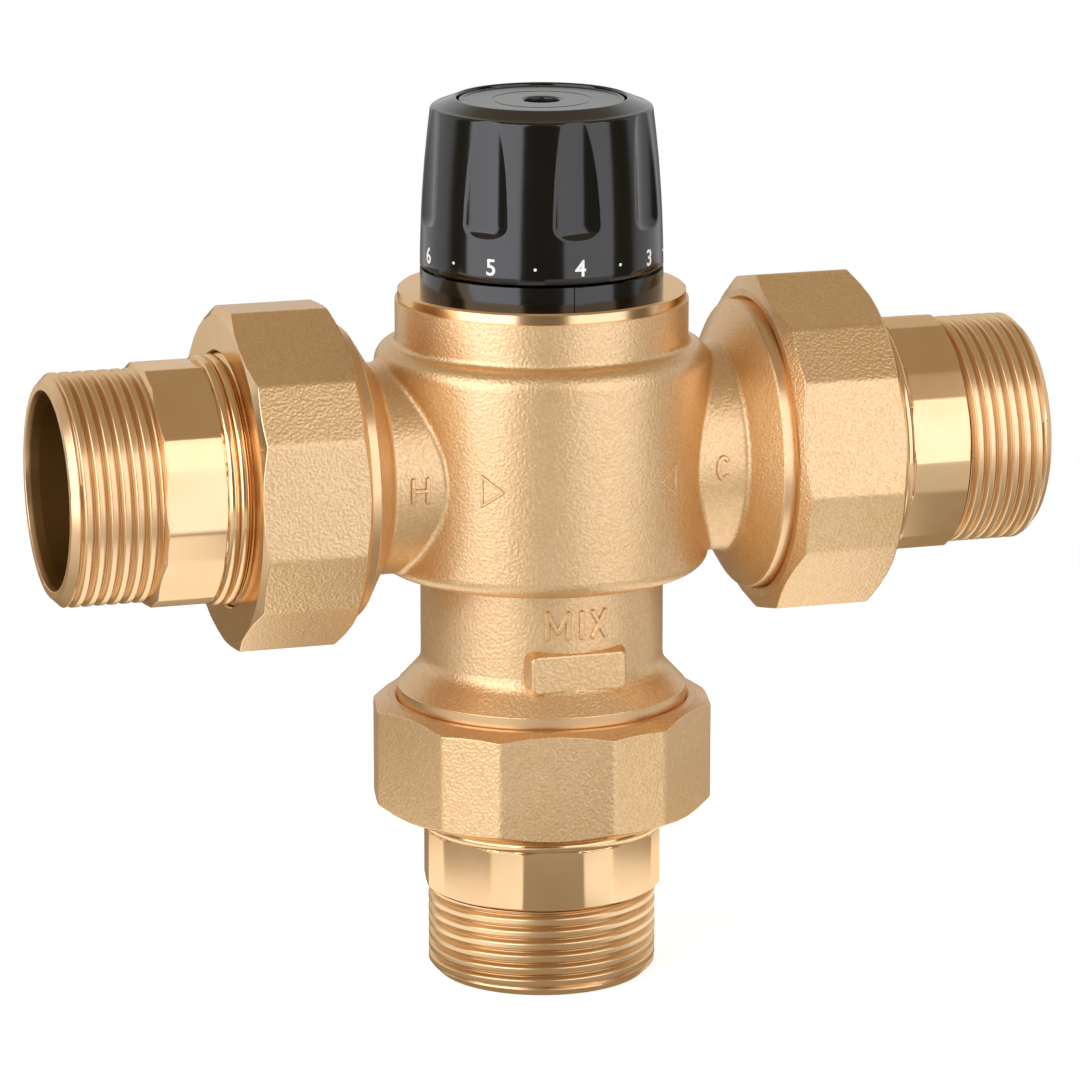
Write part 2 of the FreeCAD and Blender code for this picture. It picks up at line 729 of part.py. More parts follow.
# ---------------------------------------------------------------- index ring and knob
def index_ring():
    inner = ring_radius - ring_wall
    bowl = turned((gland_radius + loose_fit, bonnet_top), (ring_radius, bonnet_top), (ring_radius, ring_top),
                  (inner, ring_top), (inner, bonnet_top + ring_floor),
                  (gland_radius + loose_fit, bonnet_top + ring_floor))
    rib = Part.makeBox(index_rib_width, index_rib_height + ring_wall / 2, ring_height,
                       V(-index_rib_width / 2, -ring_radius - index_rib_height, bonnet_top))
    stop = sector(stop_inner_radius, inner + 0.5, stop_half_angle, bonnet_top, bonnet_top + ring_floor + stop_height)
    stop.rotate(V(0, 0, 0), UP, 180)
    return bowl.fuse([rib, stop]).removeSplitter()


def flute():
    """Cutter of one finger flute, at -Y: a leaning rod with a rounded lower end."""
    rod = Part.makeCylinder(flute_radius, 2 * (knob_top - flute_start), V(0, 0, flute_start - flute_end_round))
    lower_rim = [e for e in rod.Edges if e.BoundBox.ZMax < flute_start and e.Closed and
                 isinstance(e.Curve, Part.Circle)]
    rod = rod.makeFillet(flute_end_round, lower_rim)
    lean = math.degrees(math.atan2(flute_depth_high - flute_depth_low, knob_top - flute_start))
    rod.rotate(V(0, 0, flute_start), V(1, 0, 0), lean)
    rod.translate(V(0, -flute_depth_low - flute_radius, 0))
    return rod


def knob():
    c = math.sqrt(0.5)
    skirt_in = knob_skirt_radius - knob_skirt_wall
    skirt_up = knob_bottom + knob_skirt_depth
    recess = cap_radius + loose_fit
    hub_low = spindle_shoulder + rotor_gap
    edge_mid = (knob_crown_radius + (knob_edge_radius - knob_crown_radius) * c,
                knob_edge_level + (knob_top - knob_edge_level) * c)
    shell = turned((0, cap_floor), (recess, cap_floor), (recess, knob_top - 0.3),
                   (recess + 0.3, knob_top - 0.1), (knob_crown_radius, knob_top),
                   (edge_mid, (knob_edge_radius, knob_edge_level)),
                   ((knob_belly_radius, knob_belly_level), (knob_skirt_radius, knob_bottom)),
                   (skirt_in, knob_bottom), (skirt_in, skirt_up), (knob_cavity_radius, skirt_up + 3),
                   (knob_cavity_radius, knob_cavity_top), (knob_hub_radius, knob_cavity_top),
                   (knob_hub_radius, hub_low), (0, hub_low))
    rib = block(knob_hub_radius - 1, knob_cavity_radius + 1, knob_rib_thickness / 2,
                knob_cavity_top - knob_rib_height, knob_cavity_top + 0.5)
    tooth_low = bonnet_top + ring_floor + rotor_gap
    tooth = sector(stop_inner_radius, ring_radius - ring_wall - rotor_gap, stop_half_angle, tooth_low, knob_bottom)
    root = sector(stop_inner_radius, skirt_in + 0.5, stop_half_angle, knob_bottom, skirt_up + 1)
    solid = shell.fuse(around(rib, knob_rib_count, 45) + [tooth, root])
    bore = disc(spindle_head_radius + slide_fit, hub_low, spindle_top + slide_fit)
    wide = 2 * spindle_head_radius
    flat_gap = spindle_flat_distance + slide_fit
    bore = bore.common(Part.makeBox(2 * wide, 2 * flat_gap, knob_top, V(-wide, -flat_gap, 0)))
    hole = disc(screw_radius + loose_fit, spindle_top, cap_floor)
    head_room = disc(cap_hole_radius + loose_fit, spindle_top + screw_seat_thickness, cap_floor)
    return solid.cut(around(flute(), flute_count) + [bore, hole, head_room]).removeSplitter()


def knob_cap():
    return tube(cap_radius, cap_hole_radius, cap_floor, cap_floor + cap_thickness)


def knob_screw():
    seat = spindle_top + screw_seat_thickness
    top = seat + screw_head_height
    body = turned((0, screw_bottom), (screw_radius, screw_bottom), (screw_radius, seat),
                  (screw_head_radius, seat), (screw_head_radius, top), (0, top))
    socket_radius = screw_socket_width / math.sqrt(3)
    socket = facetted(socket_radius, 29.999, 6, top - screw_socket_depth, top)
    return body.cut(socket)


# ---------------------------------------------------------------- the whole valve
def build():
    pieces = {
        "valve_body": valve_body(),
        "bonnet": bonnet(),
        "bonnet_seal": bonnet_seal(),
        "adjusting_spindle": adjusting_spindle(),
        "spindle_seal_lower": spindle_seal(spindle_seal_levels[0]),
        "spindle_seal_upper": spindle_seal(spindle_seal_levels[1]),
        "spindle_clip": spindle_clip(),
        "adjuster_carrier": adjuster_carrier(),
        "overtravel_cup": overtravel_cup(),
        "overtravel_spring": overtravel_spring(),
        "cup_clip": cup_clip(),
        "sensor_pin": sensor_pin(),
        "sensor_element": sensor_element(),
        "regulating_slide": regulating_slide(),
        "slide_seal": slide_seal(),
        "return_spring": return_spring(),
        "spring_seat": spring_seat(),
        "spring_seat_retainer": spring_seat_retainer(),
        "index_ring": index_ring(),
        "knob": knob(),
        "knob_cap": knob_cap(),
        "knob_screw": knob_screw(),
    }
    for branch, clocking in nut_clocking.items():
        pieces[branch + "_union_nut"] = on_branch(union_nut(clocking), branch)
        pieces[branch + "_tailpiece"] = on_branch(tailpiece(clocking), branch)
        pieces[branch + "_gasket"] = on_branch(gasket(), branch)
    inlet_pieces = {
        "strainer": strainer(),
        "check_housing": check_housing(),
        "check_guide": check_guide(),
        "check_poppet": check_poppet(),
        "check_seal": check_seal(),
        "check_spring": check_spring(),
    }
    for branch in ("hot", "cold"):
        for name, shape in inlet_pieces.items():
            pieces[branch + "_" + name] = on_branch(shape, branch)
    return pieces


os.makedirs("parts", exist_ok=True)
for node, shape in build().items():
    solid = shape.Solids[0] if len(shape.Solids) == 1 else shape
    solid = solid.copy()
    solid.translate(V(0, 0, outlet_length))
    solid.exportStep("parts/" + node + ".step")
    box = solid.BoundBox
    print(f"{node:24s} solids {len(solid.Solids)} valid {solid.isValid()} volume {solid.Volume:10.1f} "
          f"x {box.XMin:7.2f} {box.XMax:7.2f} y {box.YMin:7.2f} {box.YMax:7.2f} z {box.ZMin:7.2f} {box.ZMax:7.2f}")
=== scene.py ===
# %% [markdown]
# # A brass thermostatic mixing valve
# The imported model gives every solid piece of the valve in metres. This lesson dresses it. It makes a few
# finishes in nodes, rebuilds the pieces whose edges and threads show, adds the cast and printed marks, and
# sets the valve in a plain pale studio.

# %% Load the frame
import bpy
import bmesh
import json
import math
from mathutils import Matrix, Vector


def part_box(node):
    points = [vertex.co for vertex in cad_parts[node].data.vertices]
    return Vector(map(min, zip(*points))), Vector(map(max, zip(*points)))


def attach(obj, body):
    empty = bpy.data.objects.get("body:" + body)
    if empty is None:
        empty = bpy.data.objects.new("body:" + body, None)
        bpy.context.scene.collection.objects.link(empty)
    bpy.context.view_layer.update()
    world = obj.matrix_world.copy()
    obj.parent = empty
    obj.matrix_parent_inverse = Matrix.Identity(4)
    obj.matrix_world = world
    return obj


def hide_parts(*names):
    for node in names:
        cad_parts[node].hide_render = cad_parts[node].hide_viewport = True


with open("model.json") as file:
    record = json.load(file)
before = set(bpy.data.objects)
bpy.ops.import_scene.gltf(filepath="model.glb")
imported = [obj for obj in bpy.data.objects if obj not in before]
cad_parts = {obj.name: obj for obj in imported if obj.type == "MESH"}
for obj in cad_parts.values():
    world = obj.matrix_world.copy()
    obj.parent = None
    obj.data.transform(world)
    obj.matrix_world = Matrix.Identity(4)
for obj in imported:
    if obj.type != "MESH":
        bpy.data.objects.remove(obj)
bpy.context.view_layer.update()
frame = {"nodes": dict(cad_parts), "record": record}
nodes = frame["nodes"]

# %% [markdown]
# ## Where things are
# The pieces are built in millimetres and scaled once. A union is the same on all three branches, so it is
# built once, standing on its free end with its axis up, and each branch gets a placing matrix. Two numbers
# are read from the CAD box of a tailpiece: half the length over the inlets, and the height at which the
# three axes cross. Each union was tightened to its own angle, its clocking, in degrees.

# %% Places of the three branches
MM = 0.001
low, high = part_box("hot_tailpiece")
half_length = -low.x / MM
crossing = (low.z + high.z) / 2 / MM
to_metres = Matrix.Scale(MM, 4)
branches = {
    "hot": Matrix.Translation((-half_length, 0, crossing)) @ Matrix.Rotation(math.pi / 2, 4, "Y"),
    "cold": Matrix.Translation((half_length, 0, crossing)) @ Matrix.Rotation(-math.pi / 2, 4, "Y"),
    "mixed": Matrix.Identity(4),
}
clocking = {"hot": -3.0, "cold": 12.0, "mixed": -12.0}
print("half length", round(half_length, 2), "axes cross at", round(crossing, 2))

# %% [markdown]
# ## Maths for the finishes
# A finish changes over a surface, so it needs sums of noises and masks. Written node by node these are hard
# to read. `Field` wraps one output socket and turns plain Python maths into Math nodes. `Finish` is one
# material, and its method `node` makes every other node.

# %% Field and Finish
class Field:
    """A number, colour or vector that changes over a surface."""

    def __init__(self, finish, socket):
        self.finish, self.socket = finish, socket

    def maths(self, operation, *values):
        return self.finish.node("Math", {"operation": operation}, dict(enumerate(values)))[0]

    def __add__(self, other):
        return self.maths("ADD", self, other)

    def __sub__(self, other):
        return self.maths("SUBTRACT", self, other)

    def __mul__(self, other):
        return self.maths("MULTIPLY", self, other)

    def __rsub__(self, other):
        return self.maths("SUBTRACT", other, self)

    __radd__ = __add__
    __rmul__ = __mul__

    def size(self):
        return self.maths("ABSOLUTE", self)

    def root(self):
        return self.maths("SQRT", self)

    def ramp(self, start, end):
        """0 before start, 1 after end, and a smooth rise between. Start may be the larger."""
        node = self.finish.node("MapRange", {"interpolation_type": "SMOOTHSTEP"},
                                {"Value": self, "From Min": start, "From Max": end})
        return node[0]


class Finish:
    """A material and its node tree."""

    def __init__(self, name, world=None):
        self.material = world or bpy.data.materials.new(name)
        self.material.use_nodes = True
        self.tree = self.material.node_tree
        self.tree.nodes.clear()

    def node(self, kind, settings, sockets):
        """Make a node. Returns its outputs as fields, in order."""
        made = self.tree.nodes.new("ShaderNode" + kind)
        for key, value in settings.items():
            setattr(made, key, value)
        for key, value in sockets.items():
            if isinstance(value, Field):
                self.tree.links.new(value.socket, made.inputs[key])
            else:
                made.inputs[key].default_value = value
        return [Field(self, socket) for socket in made.outputs]

    def place(self):
        """Object coordinates in metres: the point, and its three numbers."""
        point = self.node("TexCoord", {}, {})[3]
        return (point, *self.node("SeparateXYZ", {}, {"Vector": point}))

    def noise(self, point, scale, detail=2.0, roughness=0.5):
        return self.node("TexNoise", {}, {"Vector": point, "Scale": scale, "Detail": detail,
                                          "Roughness": roughness})[0]

    def lines(self, along, scale):
        """Noise that changes along one number only, for tool marks."""
        return self.node("TexNoise", {"noise_dimensions": "1D"},
                         {"W": along, "Scale": scale, "Detail": 3.0})[0]

    def blend(self, share, one, other):
        """Colour mix. A colour is three numbers, or the field of another mix."""
        ends = [(*colour, 1) if isinstance(colour, tuple) else colour for colour in (one, other)]
        return self.node("Mix", {"data_type": "RGBA"}, {0: share, 6: ends[0], 7: ends[1]})[2]

    def bumpy(self, height, strength, distance):
        return self.node("Bump", {}, {"Height": height, "Strength": strength, "Distance": distance})[0]

    def shade(self, colour, roughness, **more):
        """Principled surface. Other sockets are given by name, with _ for a space."""
        sockets = {"Base Color": colour, "Roughness": roughness}
        sockets.update({key.replace("_", " "): value for key, value in more.items()})
        surface = self.node("BsdfPrincipled", {}, sockets)[0]
        self.node("OutputMaterial", {}, {"Surface": surface})
        return self.material


# %% [markdown]
# ## Blasted brass
# The body and the nuts are hot-pressed and shot-blasted. The grain is about 0.4 mm across and shows where
# the light turns. Displacing the mesh would take millions of faces, so a bump from two noises makes it. The
# hollows are a little darker and duller than the crests. A thin coat stands for the smooth crests, which
# still catch the light. The edge tint keeps brass from turning white where it is seen at a low angle.

# %% Brass colours and the blasted finish
BRASS = (0.80, 0.54, 0.295)
BRASS_PALE = (0.86, 0.61, 0.36)
BRASS_DEEP = (0.77, 0.52, 0.25)
BRASS_EDGE = (0.90, 0.74, 0.54, 1.0)
BLASTED_COAT = {"Coat_Weight": 0.6, "Coat_Roughness": 0.22, "Coat_IOR": 1.6}


def blasted_skin(finish, point, dullness):
    """Height, colour and roughness of a blasted surface."""
    fine = finish.noise(point, 2000.0, 0.6, 0.5)
    broad = finish.noise(point, 620.0, 1.0, 0.5)
    height = fine * 0.8 + broad * 0.2
    cloud = finish.noise(point, 45.0, 3.0, 0.6)
    tone = (height * 0.8 + cloud * 0.3).ramp(0.35, 0.75)
    return height, finish.blend(tone, BRASS_DEEP, BRASS_PALE), dullness + cloud * 0.06 - height * 0.06


def blasted_brass(name):
    finish = Finish(name)
    point = finish.place()[0]
    height, colour, roughness = blasted_skin(finish, point, 0.46)
    return finish.shade(colour, roughness, Metallic=1.0, Specular_Tint=BRASS_EDGE, **BLASTED_COAT,
                        Normal=finish.bumpy(height, 1.0, 0.00017))


blasted = blasted_brass("blasted_brass")
print("made", blasted.name)

# %% [markdown]
# ## Machined brass
# The tailpieces, the ends of the nuts and the bonnet are turned on a lathe. The tool leaves fine rings. On a
# cylinder they change along the axis, on an end face they change with the radius, so their sum gives both
# from one noise. The wrench flats are drawn, and their scratches run along the axis instead. A tailpiece has
# painted shade: its colour is darkened to brown in the roots of its thread and in its bore, where little
# light reaches.

# %% The machined finish
# Brown painted into the thread's roots and the tailpiece's bore as shade.
BRASS_PAINTED_SHADE = (0.17, 0.085, 0.022)
WRENCH_START, WRENCH_END = 16.3, 27.8
THREAD_ROOT = 20.05


def machined_brass(name, tail=False):
    finish = Finish(name)
    point, x, y, z = finish.place()
    radius = (x * x + y * y).root()
    rings = finish.lines(z + radius, 5200.0)
    height = rings
    if tail:
        on_flats = (z.ramp(WRENCH_START * MM, (WRENCH_START + 0.3) * MM)
                    * z.ramp(WRENCH_END * MM, (WRENCH_END - 0.3) * MM))
        drawn = finish.node("VectorMath", {"operation": "MULTIPLY"}, {0: point, 1: (1.0, 1.0, 0.04)})[0]
        streaks = finish.noise(drawn, 2600.0, 3.0, 0.6)
        height = rings * (1 - on_flats) + streaks * on_flats
    cloud = finish.noise(point, 70.0, 2.0, 0.5)
    colour = finish.blend(cloud.ramp(0.3, 0.7), BRASS, BRASS_PALE)
    roughness = 0.14 + cloud * 0.06 + height * 0.04
    if tail:
        on_thread = z.ramp(WRENCH_START * MM, (WRENCH_START - 0.2) * MM)
        # Painted shade: the roots of the thread and the bore are blended towards brown, where little light
        # reaches. The bore is also rougher.
        painted_root_shade = radius.ramp((THREAD_ROOT + 0.35) * MM, THREAD_ROOT * MM) * on_thread
        painted_root_shade = painted_root_shade * z.ramp(1.4 * MM, 2.2 * MM)
        shaded_bore = radius.ramp(19.35 * MM, 19.0 * MM) * z.ramp(0.4 * MM, 1.2 * MM)
        colour = finish.blend(painted_root_shade * 0.3, colour, BRASS_PAINTED_SHADE)
        colour = finish.blend(shaded_bore, colour, BRASS_PAINTED_SHADE)
        roughness = roughness + shaded_bore * 0.25 + on_thread * 0.1
    return finish.shade(colour, roughness, Metallic=1.0, Specular_Tint=BRASS_EDGE, Coat_Weight=0.3,
                        Coat_Roughness=0.15, Coat_IOR=1.6, Normal=finish.bumpy(height, 0.22, 0.00002))


machined = machined_brass("machined_brass")
machined_tail = machined_brass("machined_tail", tail=True)
print("made", machined.name, machined_tail.name)

# %% [markdown]
# ## The cast body's finish
# The body is one node with two finishes: blasted all over, and turned bright on the rims of the three
# connection bosses. A rim is found from its place on the body, at the same distance from every union's free
# end, so one material covers the body, and only colour, roughness and bump change.

# %% The body's finish
BOSS_RIM = 54.35
RIM_EDGE = 0.15


def body_brass(name):
    finish = Finish(name)
    point, x, _, z = finish.place()
    side_rim = half_length - BOSS_RIM
    on_side_rims = x.size().ramp(side_rim * MM, (side_rim + RIM_EDGE) * MM)
    on_low_rim = z.ramp(BOSS_RIM * MM, (BOSS_RIM - RIM_EDGE) * MM)
    on_rim = on_side_rims.maths("MAXIMUM", on_side_rims, on_low_rim)
    height, colour, roughness = blasted_skin(finish, point, 0.45)
    return finish.shade(finish.blend(on_rim, colour, BRASS), roughness * (1 - on_rim) + on_rim * 0.28,
                        Metallic=1.0, Specular_Tint=BRASS_EDGE, **BLASTED_COAT,
                        Normal=finish.bumpy(height * (1 - on_rim * 0.97), 1.0, 0.00011))


body_finish = body_brass("body_brass")
print("made", body_finish.name)

# %% [markdown]
# ## Plastics, steel and rubber
# The knob is glossy black plastic with a faint moulding ripple. The pieces inside the valve show only when
# it is taken apart, but they get real finishes too: drawn steel, satin white plastic and dull rubber.

# %% Plastic, steel, rubber and print
def moulded(name, colour, dullness, ripple=0.12):
    """Plastic or rubber, a little paler here and there, with a faint ripple."""
    finish = Finish(name)
    point = finish.place()[0]
    broad = finish.noise(point, 160.0, 2.0, 0.5)
    fine = finish.noise(point, 2600.0, 1.0, 0.5)
    lighter = tuple(min(1.0, c * 1.25 + 0.002) for c in colour)
    return finish.shade(finish.blend(broad, colour, lighter), dullness + fine * 0.05, Metallic=0.0, IOR=1.58,
                        Normal=finish.bumpy(broad + fine * 0.15, ripple, 0.00004))


def steel(name):
    finish = Finish(name)
    point = finish.place()[0]
    drawn = finish.noise(point, 900.0, 3.0, 0.6)
    return finish.shade(finish.blend(drawn, (0.50, 0.50, 0.50), (0.72, 0.71, 0.70)), 0.2 + drawn * 0.15,
                        Metallic=1.0, Normal=finish.bumpy(drawn, 0.15, 0.00002))


gloss_black = moulded("gloss_black", (0.002, 0.002, 0.0018), 0.1)
cap_black = moulded("cap_black", (0.012, 0.012, 0.012), 0.2)
satin_white = moulded("satin_white", (0.72, 0.71, 0.66), 0.38)
rubber = moulded("rubber", (0.02, 0.02, 0.02), 0.62, 0.3)
print_white = moulded("print_white", (0.80, 0.80, 0.78), 0.45)
stainless = steel("stainless")
print("made", gloss_black.name, satin_white.name, rubber.name, stainless.name)

# %% [markdown]
# ## Finishes on the CAD nodes
# A CAD node keeps its own shape and takes a new material. The record's slots already sort the nodes by
# what they are made of, so each gets its finish from the slot, and only the body gets its own.

# %% Dress the CAD nodes
by_slot = {"brass_cast": blasted, "brass_turned": machined, "black_plastic": gloss_black,
           "white_plastic": satin_white, "stainless_steel": stainless, "rubber": rubber}
for part in frame["record"]["subparts"]:
    mesh = nodes[part["node"]].data
    mesh.materials.clear()
    mesh.materials.append(by_slot[part["material_slot"]])
nodes["valve_body"].data.materials[0] = body_finish

# %% [markdown]
# ## Turned and facetted pieces
# Nuts and tailpieces are turned, with flats cut on them. A boolean of a prism and a cone would give the same
# shape but long thin faces and hard edges. Instead the section is swept round the axis and may change with
# the angle: where a flat is cut, the outer radius follows the flat. Every corner of the section that shows
# is eased by a small arc, so that the edges catch the light.

# %% Section with eased corners
def eased(corners, steps=3):
    """Round a closed section. A corner is (radius, height, finish, rounding)."""
    points = []
    for i, (r, s, finish, rounding) in enumerate(corners):
        here = Vector((r, s))
        before = Vector(corners[i - 1][:2]) - here
        after = Vector(corners[(i + 1) % len(corners)][:2]) - here
        if not rounding:
            points.append((r, s, finish))
            continue
        turn = math.pi - before.angle(after)
        reach = min(rounding * math.tan(turn / 2), 0.45 * before.length, 0.45 * after.length)
        start, end = here + before.normalized() * reach, here + after.normalized() * reach
        for k in range(steps + 1):
            t = k / steps
            p = start * (1 - t) ** 2 + here * 2 * t * (1 - t) + end * t * t
            points.append((p.x, p.y, finish if t >= 0.5 else corners[i - 1][2]))
    return points


# %% Radius and angles of the flats
def flats_radius(angle, corner_radius, wide_half, count, sharpness=260.0):
    """Radius of a prism with wide and narrow flats in turn, its corners just broken."""
    pitch = 360.0 / count
    total = 0.0
    for i in range(count):
        for middle, half in ((-90 + i * pitch, wide_half), (-90 + (i + 0.5) * pitch, pitch / 2 - wide_half)):
            away = math.radians((angle - middle + 180) % 360 - 180)
            if math.cos(away) > 0.2:
                total += (math.cos(away) / math.cos(math.radians(half))) ** sharpness
    return corner_radius * total ** (-1 / sharpness)


CORNER_OFFSETS = (-2.0, -1.1, -0.5, 0.0, 0.5, 1.1, 2.0)


def flats_angles(wide_half, count, between=3):
    """Angles round the axis, close together near the corners of the flats."""
    pitch = 360.0 / count
    corners = sorted(-90 + i * pitch + side * wide_half for i in range(count) for side in (-1, 1))
    angles = []
    for i, corner in enumerate(corners):
        following = corners[i + 1] if i + 1 < len(corners) else corners[0] + 360
        angles += [corner + offset for offset in CORNER_OFFSETS]
        first = corner + CORNER_OFFSETS[-1]
        gap = following + CORNER_OFFSETS[0] - first
        angles += [first + gap * (k + 1) / (between + 1) for k in range(between)]
    return angles


# %% Sweep a section round the axis
def add_sweep(mesh, section, angles, turned=0.0):
    """Sweep section(angle) round Z. The section is closed; its points are (radius, height, finish)."""
    rings = []
    for angle in angles:
        turn = math.radians(angle + turned)
        direction = Vector((math.cos(turn), math.sin(turn), 0))
        points = section(angle)
        rings.append([(mesh.verts.new(direction * r + Vector((0, 0, s))), finish) for r, s, finish in points])
    for ring, following in zip(rings, rings[1:] + rings[:1]):
        for i in range(len(ring)):
            j = (i + 1) % len(ring)
            face = mesh.faces.new((ring[i][0], following[i][0], following[j][0], ring[j][0]))
            face.material_index = ring[i][1]
            face.smooth = True


# %% Make a piece of the valve
def finish_piece(name, mesh, finishes, body, place=None, replaced=(), sharp=40.0, weighted=True):
    """Turn a bmesh in millimetres into a piece of the valve."""
    bmesh.ops.remove_doubles(mesh, verts=mesh.verts, dist=1e-5)
    bmesh.ops.dissolve_degenerate(mesh, edges=mesh.edges, dist=1e-6)
    bmesh.ops.recalc_face_normals(mesh, faces=mesh.faces)
    data = bpy.data.meshes.new(name)
    mesh.to_mesh(data)
    mesh.free()
    data.transform(to_metres)
    data.set_sharp_from_angle(angle=math.radians(sharp))
    for material in finishes:
        data.materials.append(material)
    piece = bpy.data.objects.new(name, data)
    bpy.context.scene.collection.objects.link(piece)
    if place is not None:
        moved = place.copy()
        moved.translation = moved.translation * MM
        piece.matrix_world = moved
    if weighted:
        modifier = piece.modifiers.new("even_shading", "WEIGHTED_NORMAL")
        modifier.keep_sharp = True
    if replaced:
        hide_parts(*replaced)
    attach(piece, body)
    return piece


# %% [markdown]
# ## Union nuts
# The nut has six wide and six narrow flats. Both ends are turned to a 30 degree chamfer, which cuts the
# curved edge that every hexagon nut has. At its lip, where the tailpiece comes out, the end face and the
# chamfer are bright. The flats and the end at the boss keep the blasted grain, and the bore is turned. So
# the section has two finishes, and each corner names the one that starts there.

# %% Make the nuts
BLASTED, MACHINED = 0, 1
CHAMFER = math.tan(math.radians(30))
NUT = {"corner": 31.2, "half": 19.35, "count": 6, "start": 32.0, "end": 52.2, "lip": 29.3, "open": 28.4,
       "lip_bore": 23.0, "lip_bevel": 0.25, "bore": 26.55, "bevel": 0.5, "shoulder": 36.0}


def nut_section(angle):
    radius = flats_radius(angle, NUT["corner"], NUT["half"], NUT["count"])
    start, end, bore, lip_bore = NUT["start"], NUT["end"], NUT["bore"], NUT["lip_bore"]
    corners = [(lip_bore + NUT["lip_bevel"], start, MACHINED, 0.1), (NUT["lip"], start, MACHINED, 0.25),
               (radius, start + (radius - NUT["lip"]) * CHAMFER, BLASTED, 0.35),
               (radius, end - (radius - NUT["open"]) * CHAMFER, BLASTED, 0.35),
               (NUT["open"], end, BLASTED, 0.2), (bore + NUT["bevel"], end, MACHINED, 0.1),
               (bore, end - NUT["bevel"], MACHINED, 0), (bore, NUT["shoulder"], MACHINED, 0),
               (lip_bore, NUT["shoulder"], MACHINED, 0), (lip_bore, start + NUT["lip_bevel"], MACHINED, 0.1)]
    return eased(corners)


for branch, place in branches.items():
    mesh = bmesh.new()
    add_sweep(mesh, nut_section, flats_angles(NUT["half"], NUT["count"]), clocking[branch])
    nut = finish_piece(branch + "_nut", mesh, [blasted, machined], "valve", place,
                       [branch + "_union_nut"])
    print(nut.name, len(nut.data.polygons), "faces")

# %% [markdown]
# ## Tailpieces
# The tailpiece has a pipe thread, a wrench octagon, two round beads, a collar and a flange under the nut.
# All but the thread come from the same sweep as the nut. Lengths run from the free end, and radii are
# named for what they turn.

# %% Tail section
TAIL = {"thread": 20.955, "pitch": 2.309, "core": 19.2, "corner": 22.1, "half": 14.5, "count": 8,
        "turned": 20.75, "neck": 21.4, "bead": 21.85, "bead_height": 0.75, "collar": 22.85, "flange": 26.2,
        "flange_start": 36.0, "end": 39.5, "seat": 20.4, "seat_end": 38.3, "check_bore": 18.8,
        "check_end": 18.5, "bore": 17.0, "bore_end": 16.7, "bore_bevel": 0.9}


def tail_section(angle):
    flat = flats_radius(angle, TAIL["corner"], TAIL["half"], TAIL["count"])
    core, turned, neck, collar = TAIL["core"], TAIL["turned"], TAIL["neck"], TAIL["collar"]
    flange, flange_start, end = TAIL["flange"], TAIL["flange_start"], TAIL["end"]
    start, beads = WRENCH_START, WRENCH_END
    points = eased([(TAIL["bore"] + TAIL["bore_bevel"], 0, 0, 0.15), (core, 0, 0, 0), (core, start, 0, 0),
                    (turned, start, 0, 0.1), (flat, start + (flat - turned) * CHAMFER, 0, 0.15),
                    (flat, beads - (flat - neck) * CHAMFER, 0, 0.15), (neck, beads, 0, 0)])[:-1]
    for bead in range(2):
        for k in range(17):
            turn = math.radians(-90 + 11.25 * k)
            points.append((TAIL["bead"] + TAIL["bead_height"] * math.cos(turn),
                           beads + 1 + 2 * bead + math.sin(turn), 0))
    points += eased([(neck, beads + 4, 0, 0), (collar, beads + 4.8, 0, 0.2), (collar, flange_start, 0, 0.3),
                     (flange, flange_start, 0, 0.2), (flange, end, 0, 0.2), (TAIL["seat"], end, 0, 0),
                     (TAIL["seat"], TAIL["seat_end"], 0, 0), (TAIL["check_bore"], TAIL["seat_end"], 0, 0),
                     (TAIL["check_bore"], TAIL["check_end"], 0, 0), (TAIL["bore"], TAIL["bore_end"], 0, 0.3),
                     (TAIL["bore"], TAIL["bore_bevel"], 0, 0.2)])[1:]
    return points


# %% [markdown]
# ## Pipe thread
# The thread is a helix, and a sweep can't make it, because its rows have to climb one pitch in a turn. A
# stack of separate rings would be easier, but at both ends the eye sees that they don't climb. So the rows
# follow the helix, and the last column joins the first one a pitch further on. At both ends the rows are
# held at the end, and at the free end the radius is limited by the chamfer. The crests are cut flat and the
# roots are shallow, as on a rolled thread, with soft edges to both. The thread grows out of a short plain
# lead.

# %% Pipe thread that follows its helix
CREST_BLEND, ROOT_BLEND = 0.2, 0.12
PLAIN_LEAD = 2.0
CHAMFER_RADIUS = 19.3


def thread_height(phase):
    """Height of the profile with its crest cut flat, 0 at the root and 1 at the crest."""
    flank = (1 - abs(2 * (phase % 1.0) - 1) - 0.08) / 0.46
    if flank > 1 - CREST_BLEND:
        return 1.0 - max(0.0, 1 + CREST_BLEND - flank) ** 2 / (4 * CREST_BLEND)
    if flank < ROOT_BLEND:
        return max(0.0, flank + ROOT_BLEND) ** 2 / (4 * ROOT_BLEND)
    return flank


def thread_radius(s, start, phase):
    """Radius at s along the axis. It starts on the chamfer and goes over the plain lead into the thread."""
    lead = min(max(PLAIN_LEAD - (s - start), 0.0), 1.0)
    radius = THREAD_ROOT + (TAIL["thread"] - THREAD_ROOT) * max(thread_height(phase), lead * 0.9)
    return min(radius, CHAMFER_RADIUS + s - start)


